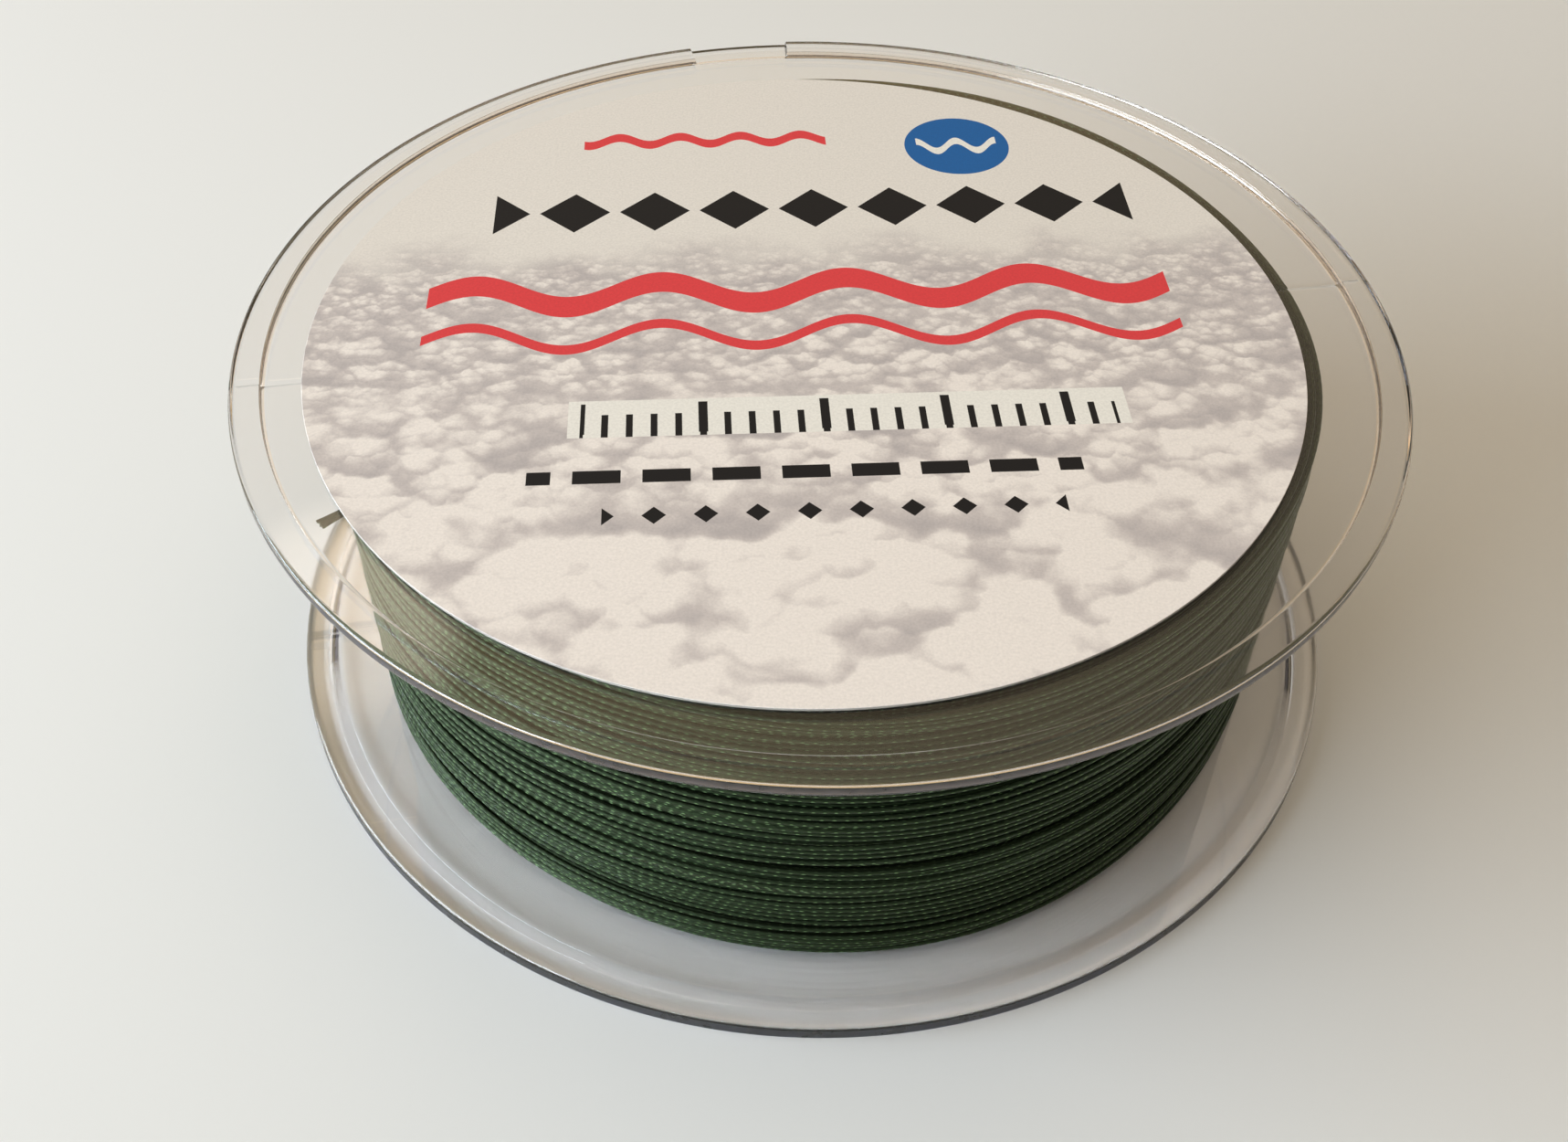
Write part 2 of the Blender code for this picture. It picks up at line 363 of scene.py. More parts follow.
@dataclass(frozen=True)
class BraidedPolyethylene(Finish):
    """Dyed polyethylene fibre, braided from eight carriers: satin, with a painted highlight on each pick, and
    painted shade in the hollows of the weave and on each turn's flanks.
    """

    name: str = "braided_polyethylene_dyed"
    fibre: str = "#0c1709"
    # Painted shade: the colour that the hollows between the picks darken to.
    painted_groove_shade: str = "#040703"
    # Painted highlight: each pick's crown is lightened towards this colour, as if it glinted.
    painted_glint: str = "#7b9868"
    glint_edges: tuple[float, float] = (0.64, 0.92)  # from where to where on a pick its painted highlight grows
    glint_strength: float = 1.75
    sheen: str = "#bbdea2"
    specular: float = 0.65
    roughness: float = 0.30
    pick_roughness: float = 0.11     # the crown of a pick lies flat and catches the light
    flank_roughness: float = 0.45    # what a turn's flank adds
    painted_flank_shade: float = 0.08        # painted shade: the share of the base colour kept on a turn's flanks, between two turns
    ior: float = 1.54
    pick_length: float = 0.95 * MM   # as far as one glint is from the next on the line
    drift_length: float = 36.0       # millimetres of line over which the picks drift
    drift: float = 12.0              # radians by which they drift
    # The size of the patches in which the painted highlights, and the picks' smoother shine, come and go.
    glint_patch_size: float = 1.6 * MM
    carriers_each_way: int = 4
    relief: float = 0.025 * MM

    def shade(self, node: partial) -> Socket:
        """Lays the nodes. The strand UV map runs in millimetres along the line, and from 0 to 1 round it.

        Args:
            node: add_node bound to the tree.

        Returns:
            The surface shader.
        """
        strand = node("UVMap", uv_map="strand")
        split = node("SeparateXYZ", (strand,)).node.outputs
        # A slow drift of the picks keeps each turn out of step with its neighbours.
        slow = node("Math", (split["X"], 1 / self.drift_length), operation="MULTIPLY")
        drift = node("TexNoise", {"W": slow, "Scale": 1.0, "Detail": 1.0}, noise_dimensions="1D")
        even = node("Math", (split["X"], math.pi * MM / self.pick_length), operation="MULTIPLY")
        along = node("Math", (drift, self.drift, even), operation="MULTIPLY_ADD")
        around = node("Math", (split["Y"], TURN * self.carriers_each_way / 2), operation="MULTIPLY")
        right = node("Math", (node("Math", (along, around), operation="ADD"),), operation="SINE")
        left = node("Math", (node("Math", (along, around), operation="SUBTRACT"),), operation="SINE")
        weave = node("Math", (right, left), operation="MULTIPLY")
        crown = node("Math", (weave,), operation="ABSOLUTE")
        place = node("TexCoord", out="Object")
        # Patches in which the painted highlights, and the picks' smoother shine, come and go.
        glint_patches = node("TexNoise", {"Vector": place, "Scale": 1 / self.glint_patch_size, "Detail": 3.0})
        # Painted shade: the base colour darkens towards the groove colour in the hollows between the picks.
        groove_shade_share = node("MapRange", {"Value": crown, "From Max": 0.4, "To Min": 0.35})
        body = node("Mix", {0: groove_shade_share, 6: linear(self.painted_groove_shade), 7: linear(self.fibre)}, **COLOURS)
        # Painted highlight: the base colour lightens on each pick's crown. The same share makes the crown
        # smoother.
        low, high = self.glint_edges
        growth = {"Value": weave, "From Min": low, "From Max": high, "To Max": self.glint_strength}
        picks = node("Math", (node("MapRange", growth), glint_patches), operation="MULTIPLY")
        bright = node("Mix", {0: picks, 6: body, 7: linear(self.painted_glint)}, **COLOURS)
        # Painted shade: the base colour darkens on each turn's upper and lower flanks, where it lies against
        # its neighbours. The flanks are also made rougher.
        turn = node("Math", (split["Y"], TURN), operation="MULTIPLY")
        flank = node("Math", (node("Math", (turn,), operation="SINE"),), operation="ABSOLUTE")
        flank_shade_range = {"Value": flank, "From Min": 0.5, "From Max": 1.0, "To Min": 1.0, "To Max": self.painted_flank_shade}
        colour = node("VectorMath", {0: bright, "Scale": node("MapRange", flank_shade_range)}, operation="SCALE")
        satin = node("MapRange", {"Value": picks, "To Min": self.roughness, "To Max": self.pick_roughness})
        rough = (flank, self.flank_roughness, satin)
        normal = node("Bump", {"Height": crown, "Distance": self.relief, "Strength": 0.8})
        return node(
            "BsdfPrincipled",
            {
                "Base Color": colour,
                "Roughness": node("Math", rough, operation="MULTIPLY_ADD", use_clamp=True),
                "IOR": self.ior,
                "Specular Tint": linear(self.sheen),
                "Specular IOR Level": self.specular,
                "Normal": normal,
            },
        )


class Shape(Enum):
    """The shapes that a printed row is made of."""

    WAVE = "one wave line"
    BARS = "upright bars"
    LOZENGES = "lozenges"


@dataclass(frozen=True)
class Row:
    """A printed row across the label, in millimetres and in the label's own frame."""

    shape: Shape
    height: float
    middle: float
    length: float
    pitch: float        # from one bar or crest to the next
    half_width: float   # of a bar. A wave swings so far.
    half_height: float  # of a bar, or of the wave's line

    def mask(self, node: partial, x: Socket, y: Socket) -> Socket:
        """The row as 0 or 1.

        Args:
            node: add_node bound to the tree.
            x: Across the label.
            y: Up the label.

        Returns:
            The mask.
        """
        span = node("Math", (x, self.middle, self.length / 2), operation="COMPARE")
        if self.shape is Shape.WAVE:
            phase = node("Math", (x, TURN / self.pitch), operation="MULTIPLY")
            swing = node("Math", (phase,), operation="SINE")
            level = node("Math", (swing, self.half_width, self.height), operation="MULTIPLY_ADD")
            inside = node("Math", (y, level, self.half_height), operation="COMPARE")
        else:
            start = self.middle - self.length / 2 - self.pitch / 2
            shifted = node("Math", (x, start), operation="SUBTRACT")
            across = node("Math", (shifted, self.pitch / 2), operation="PINGPONG")
            away = node("Math", (self.pitch / 2, across), operation="SUBTRACT")
            wide = node("Math", (away, self.half_width), operation="DIVIDE")
            above = node("Math", (y, self.height), operation="SUBTRACT")
            rise = node("Math", (above,), operation="ABSOLUTE")
            high = node("Math", (rise, self.half_height), operation="DIVIDE")
            joined = "ADD" if self.shape is Shape.LOZENGES else "MAXIMUM"
            reach = node("Math", (wide, high), operation=joined)
            inside = node("Math", (reach, 1.0), operation="LESS_THAN")
        return node("Math", (inside, span), operation="MULTIPLY")


@dataclass(frozen=True)
class PrintedPaper(Finish):
    """Uncoated self-adhesive paper, printed: matt, with a mottled ground, and painted shade that greys its
    cut edge and underside.
    """

    middle: Point
    top: float
    name: str = "printed_paper_label"
    tilt: float = math.radians(-5.0)  # the print is not quite square to the camera
    paper: str = "#f4f1ea"
    plain: str = "#ebe5de"
    pale: str = "#f7efe9"
    middle_tone: str = "#d3cac7"
    shade_tone: str = "#c1b9b8"
    # Painted shade: the cut edge and the underside are white paper, painted grey.
    painted_edge_shade: str = "#a8a39a"
    red: str = "#e5474b"
    black: str = "#1d1b1c"
    blue: str = "#2265a8"
    ior: float = 1.47
    specular: float = 0.22            # the fibres break up the shine
    round_middle: Point = (17.0, 29.0)
    round_radius: float = 5.2
    grain_size: float = 0.22 * MM
    grain_depth: float = 0.008 * MM
    # The mottle's sizes are in millimetres. Each lump is as wide as its first number, below its second.
    lumps: tuple[Point, ...] = ((1.7, 0.0), (2.6, 3.0), (4.2, -8.0), (7.5, -21.0))
    lump_layers: tuple[Point, ...] = ((0.62, 1.0), (0.30, 2.4))  # share, and how many times finer
    lump_tone: float = 0.15
    warp: float = 0.7
    drift_scale: float = 0.12
    drift: float = 14.0
    wisp_size: float = 2.2
    fade_out: Point = (22.0, 13.0)    # heights between which the mottle ends in the plain tone

    def puffs(self, node: partial, spot: Socket, size: float) -> Socket:
        """Rounded lumps, each with a pale crown and a shaded foot, and smaller lumps on them.

        Args:
            node: add_node bound to the tree.
            spot: Place on the label, in millimetres.
            size: How wide a lump is, in millimetres.

        Returns:
            A tone round a quarter.
        """
        tone: Any = self.lump_tone
        for share, finer in self.lump_layers:
            at = node("VectorMath", {0: spot, "Scale": finer / size}, operation="SCALE")
            noise = node("TexNoise", {"Vector": at, "Scale": 1.4, "Detail": 2.0}, out="Color")
            push = (self.warp, self.warp, 0.0)
            bent = node("VectorMath", (noise, push, at), operation="MULTIPLY_ADD")
            lump = node(
                "TexVoronoi",
                {"Vector": bent, "Scale": 1.0, "Smoothness": 0.4},
                feature="SMOOTH_F1",
                voronoi_dimensions="2D",
            ).node.outputs
            local = node("VectorMath", (bent, lump["Position"]), operation="SUBTRACT")
            rise = node("SeparateXYZ", (local,), out="Y")
            crown = node("Math", (lump["Distance"], -0.7, 0.28), operation="MULTIPLY_ADD")
            light = node("Math", (rise, 0.7, crown), operation="MULTIPLY_ADD")
            tone = node("Math", (light, share, tone), operation="MULTIPLY_ADD")
        return tone

    def ground(self, node: partial, x: Socket, y: Socket) -> Socket:
        """A mottle of lumps that grow towards the bottom, and a plain tone above it.

        Args:
            node: add_node bound to the tree.
            x: Across the label, in millimetres.
            y: Up the label, in millimetres.

        Returns:
            The ground's colour.
        """
        spot = node("CombineXYZ", {"X": x, "Y": y})
        drift = node("TexNoise", {"Vector": spot, "Scale": self.drift_scale, "Detail": 4.0})
        level = node("Math", (drift, self.drift, y), operation="MULTIPLY_ADD")
        tone = self.puffs(node, spot, self.lumps[0][0])
        for size, start in self.lumps[1:]:
            share = node("MapRange", {"Value": level, "From Min": start + 10.0, "From Max": start + 3.0})
            tone = node("Mix", {0: share, 2: tone, 3: self.puffs(node, spot, size)})
        lighter = node("Math", (y, -0.0080, tone), operation="MULTIPLY_ADD")
        cloud = node("Math", (drift, 0.35, lighter), operation="MULTIPLY_ADD")
        wisps = node("TexNoise", {"Vector": spot, "Scale": 1 / self.wisp_size, "Detail": 6.0})
        soft = node("Math", (wisps, 0.5, cloud), operation="MULTIPLY_ADD")
        stops = [(0.28, linear(self.shade_tone)), (0.58, linear(self.middle_tone)), (0.84, linear(self.pale))]
        mottle = node("ValToRGB", (soft,), stops=stops)
        top, bottom = self.fade_out
        ends = {"Value": level, "From Min": top, "From Max": bottom}
        start = node("MapRange", ends, interpolation_type="SMOOTHSTEP")
        return node("Mix", {0: start, 6: linear(self.plain), 7: mottle}, **COLOURS)

    def drawing(self, node: partial, x: Socket, y: Socket, under: Socket) -> Socket:
        """Plain motifs over the ground: waves, lozenges, a graduated strip and a round.

        Args:
            node: add_node bound to the tree.
            x: Across the label, in millimetres.
            y: Up the label, in millimetres.
            under: The ground's colour.

        Returns:
            The print's colour.
        """
        # Each row's height, middle, length, pitch, half width and half height.
        wave, bars, lozenges = Shape.WAVE, Shape.BARS, Shape.LOZENGES
        strip = Row(bars, -11.5, 3.0, 46.0, 200.0, 100.0, 2.3)
        ripple = Row(wave, 29.0, 17.0, 8.0, 4.0, 0.9, 0.6)
        black = [
            Row(bars, -12.4, 3.0, 44.0, 2.0, 0.28, 1.4),
            Row(bars, -11.5, 3.0, 44.0, 10.0, 0.38, 1.9),
            Row(lozenges, 18.5, 2.0, 60.0, 7.5, 3.3, 3.2),
            Row(bars, -18.5, -1.0, 44.0, 5.5, 1.9, 0.75),
            Row(lozenges, -23.0, 1.0, 36.0, 4.0, 0.95, 0.95),
        ]
        red = [
            Row(wave, 5.5, 0.0, 66.0, 16.5, 1.7, 1.5),
            Row(wave, -0.6, 0.0, 66.0, 16.5, 1.7, 0.65),
            Row(wave, 31.0, -8.0, 24.0, 6.0, 0.7, 0.75),
        ]
        spot = node("CombineXYZ", {"X": x, "Y": y})
        away = node("VectorMath", (spot, (*self.round_middle, 0.0)), out="Value", operation="DISTANCE")
        disc = node("Math", (away, self.round_radius), operation="LESS_THAN")
        under = node("Mix", {0: disc, 6: under, 7: linear(self.blue)}, **COLOURS)
        for ink, rows in ((self.paper, [strip, ripple]), (self.black, black), (self.red, red)):
            for row in rows:
                under = node("Mix", {0: row.mask(node, x, y), 6: under, 7: linear(ink)}, **COLOURS)
        return under

    def shade(self, node: partial) -> Socket:
        """Lays the nodes.

        Args:
            node: add_node bound to the tree.

        Returns:
            The surface shader.
        """
        place = node("TexCoord", out="Object")
        moved = node("VectorMath", (place, (*self.middle, self.top)), operation="SUBTRACT")
        straight = node("VectorRotate", {"Vector": moved, "Angle": self.tilt}, rotation_type="Z_AXIS")
        scaled = node("VectorMath", {0: straight, "Scale": 1 / MM}, operation="SCALE")
        split = node("SeparateXYZ", (scaled,)).node.outputs
        x, y = split["X"], split["Y"]
        ink = self.drawing(node, x, y, self.ground(node, x, y))
        grain = node("TexNoise", {"Vector": place, "Scale": 1 / self.grain_size, "Detail": 2.0})
        spread = {"Value": grain, "From Min": 0.3, "From Max": 0.7, "To Min": 0.93, "To Max": 1.05}
        printed = node("VectorMath", {0: ink, "Scale": node("MapRange", spread)}, operation="SCALE")
        # Painted shade: every face but the top takes the grey edge colour.
        upward = node("SeparateXYZ", (node("NewGeometry", out="Normal"),), out="Z")
        face = node("Math", (upward, 0.5), operation="GREATER_THAN")
        return node(
            "BsdfPrincipled",
            {
                "Base Color": node("Mix", {0: face, 6: linear(self.painted_edge_shade), 7: printed}, **COLOURS),
                "Roughness": node("MapRange", {"Value": grain, "To Min": 0.62, "To Max": 0.78}),
                "IOR": self.ior,
                "Specular IOR Level": self.specular,
                "Normal": node("Bump", {"Height": grain, "Distance": self.grain_depth, "Strength": 0.6}),
            },
        )


@dataclass(frozen=True)
class TapeFilm(Finish):
    """Polypropylene tape, cast: a yellowish film, with the streaks of its adhesive."""

    name: str = "polypropylene_tape_cast"
    film: str = "#d9cfae"
    streak: str = "#c2b58c"
    streak_size: float = 6.0 * MM
    ior: float = 1.49

    def shade(self, node: partial) -> Socket:
        """Lays the nodes.

        Args:
            node: add_node bound to the tree.

        Returns:
            The surface shader.
        """
        place = node("TexCoord", out="Object")
        drawn = node("VectorMath", (place, (1, 1, 8)), operation="MULTIPLY")
        streaks = node("TexNoise", {"Vector": drawn, "Scale": 1 / self.streak_size, "Detail": 4.0})
        colour = node("Mix", {0: streaks, 6: linear(self.film), 7: linear(self.streak)}, **COLOURS)
        rough = node("MapRange", {"Value": streaks, "To Min": 0.2, "To Max": 0.4})
        return node("BsdfPrincipled", {"Base Color": colour, "Roughness": rough, "IOR": self.ior})


@dataclass(frozen=True)
class PaintedTable(Finish):
    """Painted board: pale and matt, with a roller's fine orange peel. Far off it fades into the backdrop."""

    backdrop: tuple[float, float, float]
    name: str = "painted_board_rolled"
    paint: str = "#ebebea"
    specular: float = 0.08
    peel_size: float = 0.8 * MM
    peel_depth: float = 0.01 * MM
    near_reach: float = 0.2
    far_reach: float = 0.42

    def shade(self, node: partial) -> Socket:
        """Lays the nodes.

        Args:
            node: add_node bound to the tree.

        Returns:
            The surface shader.
        """
        place = node("TexCoord", out="Object")
        peel = node("TexNoise", {"Vector": place, "Scale": 1 / self.peel_size, "Detail": 2.0})
        rough = node("MapRange", {"Value": peel, "To Min": 0.6, "To Max": 0.75})
        normal = node("Bump", {"Height": peel, "Distance": self.peel_depth, "Strength": 0.5})
        coat = {"Roughness": rough, "Specular IOR Level": self.specular, "Normal": normal}
        board = node("BsdfPrincipled", {"Base Color": linear(self.paint), **coat})
        away = node("VectorMath", (place,), out="Value", operation="LENGTH")
        reach = {"Value": away, "From Min": self.near_reach, "From Max": self.far_reach}
        far = node("MapRange", reach, interpolation_type="SMOOTHSTEP")
        share = node("Math", (far, seen_directly(node)), operation="MULTIPLY")
        backdrop = node("Emission", {"Color": (*self.backdrop, 1.0), "Strength": 1.0})
        return node("MixShader", (share, board, backdrop))


# ---------------------------------------------------------------- sub-assemblies


@dataclass
class SpoolBody:
    """The clear moulding: barrel, two flanges with raised lips, web and spindle collar."""

    radius: float
    height: float
    plate: float = 0.95 * MM
    lip_height: float = 0.55 * MM
    lip_width: float = 2.6 * MM
    lip_draft: float = 0.06 * MM
    lip_fillet: float = 0.38 * MM
    foot_slope: float = 1.1 * MM  # the lower lip's inner wall runs out gently
    foot_round: float = 0.5 * MM
    foot_fillet: float = 0.8 * MM
    top_round: float = 0.32 * MM  # the outer edges of the upper flange
    under_round: float = 0.55 * MM
    edge_round: float = 0.45 * MM  # the outer edge of the lower flange
    sharp_round: float = 0.05 * MM
    channel_fillet: float = 0.5 * MM
    bore_round: float = 0.4 * MM
    web_fillet: float = 0.3 * MM
    collar_round: float = 0.2 * MM
    spindle_round: float = 0.1 * MM
    barrel_radius: float = 35.2 * MM
    barrel_wall: float = 1.6 * MM
    barrel_draft: float = 0.3 * MM
    web: float = 1.2 * MM
    spindle_radius: float = 5.0 * MM
    collar_wall: float = 1.8 * MM
    collar_depth: float = 8.0 * MM
    notch_width: float = 10.2 * MM
    notch_azimuth: float = math.radians(101.3)
    notch_sill: float = 0.05 * MM
    notch_slope: float = 0.15 * MM
    seam_azimuths: tuple[float, ...] = (math.radians(10.7), math.radians(192.0))
    seam_height: float = 0.03 * MM
    seam_width: float = 0.16 * MM
    steps: int = 400
    crease: float = 30.0          # degrees

    @property
    def upper_face(self) -> float:
        """Height of the upper flange's face, inside its lip."""
        return self.height - self.lip_height

    @property
    def upper_inner(self) -> float:
        """Height of the upper flange's underside."""
        return self.upper_face - self.plate

    @property
    def lower_inner(self) -> float:
        """Height of the lower flange's upper side."""
        return self.lip_height + self.plate

    def section(self) -> list[Point]:
        """The half section, out along the top, in along the line channel and up the bore.

        Returns:
            Radius and height of each point.
        """
        lip = self.radius - self.lip_width
        foot = lip + self.foot_slope / 2
        bore = self.barrel_radius - self.barrel_wall
        collar, under_web = self.spindle_radius + self.collar_wall, self.upper_face - self.web
        collar_end = self.upper_face - self.collar_depth
        return rounded_outline(
            [
                (self.spindle_radius, self.upper_face, self.spindle_round),
                (lip, self.upper_face, self.lip_fillet),
                (lip + self.lip_draft, self.height, self.sharp_round),
                (self.radius, self.height, self.top_round),
                (self.radius, self.upper_inner, self.under_round),
                (self.barrel_radius, self.upper_inner, self.channel_fillet),
                (self.barrel_radius, self.lower_inner, self.channel_fillet),
                (self.radius, self.lower_inner, self.edge_round),
                (self.radius, 0.0, self.sharp_round),
                (foot, 0.0, self.foot_round),
                (foot - self.foot_slope, self.lip_height, self.foot_fillet),
                (bore + self.barrel_draft, self.lip_height, self.bore_round),
                (bore, under_web, self.web_fillet),
                (collar, under_web, self.web_fillet),
                (collar, collar_end, self.collar_round),
                (self.spindle_radius, collar_end, self.collar_round),
            ]
        )

    def azimuths(self) -> np.ndarray:
        """Even steps round the axis, with closer ones at the notch's ends and at the seams.

        Returns:
            Angles in order, from 0 to a whole turn.
        """
        slope, half_notch, half_seam = (
            size / self.radius for size in (self.notch_slope, self.notch_width / 2, self.seam_width / 2)
        )
        ends = [self.notch_azimuth - half_notch, self.notch_azimuth + half_notch]
        extra = [end + shift for end in ends for shift in (-slope, 0.0, slope)]
        extra += [seam + shift for seam in self.seam_azimuths for shift in (-half_seam, 0.0, half_seam)]
        fixed = np.array(extra) % TURN
        even = np.arange(self.steps) * TURN / self.steps
        apart = np.abs(even[:, None] - fixed[None, :]).min(axis=1)
        return np.sort(np.concatenate([even[apart > TURN / self.steps / 3], fixed]))

    def build(self) -> bpy.types.Object:
        """Makes the moulding."""
        section, azimuths = self.section(), self.azimuths()
        grid = turned(section, azimuths)
        half_notch = self.notch_width / 2 / self.radius
        inside = np.abs(azimuths - self.notch_azimuth) < half_notch + 1e-9
        level = self.upper_face + self.notch_sill
        grid[inside, :, 2] = np.minimum(grid[inside, :, 2], level)
        radii, heights = np.array(section).T
        for seam in self.seam_azimuths:
            crest = int(np.argmin(np.abs(azimuths - seam)))
            outside = radii > self.barrel_radius + self.barrel_wall
            grid[crest, outside & np.isclose(heights, self.upper_inner), 2] -= self.seam_height
            grid[crest, outside & np.isclose(heights, self.lower_inner), 2] += self.seam_height
        body = lattice("spool_body_moulding", grid, (True, True), crease=self.crease)
        dress(body, POLISHED.make(), "clear_plastic", "spool_body")
        body.data.materials.append(FROSTED.make())
        body.data.materials.append(SATIN.make())
        lip = self.radius - self.lip_width
        for face in body.data.polygons:
            reach, level = math.hypot(face.center.x, face.center.y), face.center.z
            on_lip = lip - 0.4 * MM < reach < lip + 0.08 * MM
            # The outer wall takes the frosted finish, with its blue-grey painted shade.
            if abs(face.normal.z) < 0.05 and reach > self.radius - 0.02 * MM:
                face.material_index = 1
            # The lip's inner wall takes the satin finish, with its cream painted light.
            elif on_lip and self.upper_face + 0.01 * MM < level < self.height:
                face.material_index = 2
        return body


@dataclass
class FaceLabel:
    """The round label: paper, a little off centre and not quite flat."""

    middle: Point
    radius: float
    top: float
    underside: float
    rings: int = 26
    steps: int = 200
    swell: float = 0.015 * MM
    edge: float = 0.03 * MM       # the bevel along the cut

    def build(self) -> bpy.types.Object:
        """Makes the label."""
        edge = self.edge
        radii = np.append(np.linspace(0.0, self.radius - 3 * edge, self.rings), self.radius)
        section = [(r, self.top) for r in radii[:-1]]  # flat at the edge, so that its crease stays sharp
        section += [(self.radius - edge, self.top), (self.radius, self.top - edge)]
        section += [(self.radius, self.underside + edge), (self.radius - edge, self.underside)]
        section += [(r, self.underside) for r in radii[-2::-4]] + [(0.0, self.underside)]
        azimuths = np.arange(self.steps) * TURN / self.steps
        grid = turned(section, azimuths, self.middle)
        upper = grid[..., 2] > self.top - edge / 2
        wave = np.sin(grid[..., 0] / (9 * MM) + 1.0) * np.sin(grid[..., 1] / (7 * MM)) - 1.0
        reach = np.hypot(grid[..., 0] - self.middle[0], grid[..., 1] - self.middle[1]) / self.radius
        fade = np.clip((1 - reach) * 12, 0.0, 1.0)
        grid[..., 2] += np.where(upper, wave * fade * self.swell / 2, 0.0)
        label = lattice("face_label_paper", grid, (True, False))
        dress(label, PrintedPaper(self.middle, self.top).make(), "label_paper", "face_label")
        return label


class Lay(Enum):
    """Which way a layer's turns climb."""

    RISING = 1
    FALLING = -1


@dataclass
class TurnLayer:
    """One layer of turns: an unbroken strand whose turns bunch and part as they go round."""

    name: str
    outer_radius: float
    bottom: float
    top: float
    turns: int
    lay: Lay
    seed: int
    end_azimuth: float = 0.0
    width: float = LINE_DIAMETER
    thickness: float = 0.40 * MM        # the line is wound tight, so it lies a little flat
    points_per_turn: int = 190
    sides: int = 8
    wavelengths: tuple[float, ...] = (2.0 * MM, 2.9 * MM, 4.1 * MM, 6.3 * MM, 10.0 * MM)
    bunching: float = 0.27
    # Lobes round the axis, how far each swings and where it peaks: the line is not wound truly round.
    out_of_round: tuple[tuple[int, float, float], ...] = (
        (1, 0.16 * MM, 13.0),
        (2, 0.48 * MM, -80.0),
        (3, 0.09 * MM, -29.0),
        (4, 0.14 * MM, -2.0),
        (5, 0.20 * MM, -1.0),
    )
    unevenness: float = 0.07 * MM       # some turns stand out and some lie deep
    bulge: float = 1.5 * MM             # the winding stands out at the back on the right
    bulge_azimuth: float = math.radians(44.0)
    bulge_spread: float = math.radians(27.0)
    end_room: float = 1.5 * MM          # near the flanges the turns lie even
    relief_wavelengths: tuple[float, ...] = (1.1 * MM, 1.5 * MM, 2.3 * MM, 4.0 * MM)

    def sway(self, height: np.ndarray, azimuth: np.ndarray) -> tuple[np.ndarray, np.ndarray]:
        """How far the turns are pushed up or down, and how that changes their spacing.

        Args:
            height: Undisturbed height of each point.
            azimuth: Its angle.

        Returns:
            The shift, and the shift's slope along the height.
        """
        random = np.random.default_rng(self.seed)
        shift, slope = np.zeros_like(height), np.zeros_like(height)
        for wavelength in self.wavelengths:
            most = max(1, round(7 * MM / wavelength))
            for _ in range(2):
                rate = TURN / (wavelength * random.uniform(0.85, 1.2))
                lobes = random.integers(-most, most + 1)
                phase = height * rate + lobes * azimuth + random.uniform(0, TURN)
                shift += self.bunching / rate * np.sin(phase)
                slope += self.bunching * np.cos(phase)
        room = np.clip(np.minimum(height - self.bottom, self.top - height) / self.end_room, 0.0, 1.0)
        return shift * room, slope * room

    def relief(self, height: np.ndarray, azimuth: np.ndarray) -> np.ndarray:
        """How far each point of the line stands out from the even layer.

        Args:
            height: Undisturbed height of each point.
            azimuth: Its angle.

        Returns:
            The shift along the radius.
        """
        random = np.random.default_rng(self.seed + 1)
        rise = np.zeros_like(height)
        for wavelength in self.relief_wavelengths:
            for _ in range(2):
                lobes = random.integers(-3, 4)
                rise += np.sin(height * TURN / wavelength + lobes * azimuth + random.uniform(0, TURN))
        return rise * self.unevenness / 2

    def build(self) -> bpy.types.Object:
        """Makes the layer."""
        turns = np.linspace(0.0, self.turns, self.turns * self.points_per_turn + 1)
        azimuth = self.end_azimuth + TURN * (turns - self.turns) * self.lay.value
        pitch = (self.top - self.bottom - self.width) / self.turns
        height = self.bottom + self.width / 2 + pitch * turns
        shift, slope = self.sway(height, azimuth)
        squeeze = np.clip(1 - pitch * (1 + slope) / self.width, 0.0, 0.8)
        ride = squeeze * self.thickness * 0.5 * np.cos(math.pi * turns)
        radius = self.outer_radius - self.thickness / 2 + ride + self.relief(height, azimuth)
        for lobes, swing, peak in self.out_of_round:
            radius += swing * np.cos(lobes * (azimuth - math.radians(peak)))
        from_bulge = (azimuth - self.bulge_azimuth + math.pi) % TURN - math.pi
        radius += self.bulge * np.exp(-(from_bulge**2) / (2 * self.bulge_spread**2))
        height = np.clip(height + shift, self.bottom + self.width / 2, self.top - self.width / 2)
        around = np.arange(self.sides) * TURN / self.sides
        out = radius[:, None] + self.thickness / 2 * np.cos(around)[None, :]
        grid = np.stack(
            [
                out * np.cos(azimuth)[:, None],
                out * np.sin(azimuth)[:, None],
                height[:, None] + self.width / 2 * np.sin(around)[None, :],
            ],
            axis=2,
        )
        along = self.outer_radius * TURN * turns / MM
        strand = np.stack(np.meshgrid(along, np.linspace(0, 1, self.sides + 1), indexing="ij"), axis=2)
        return lattice(self.name, grid, (False, True), caps=True, strand=strand, crease=80.0)


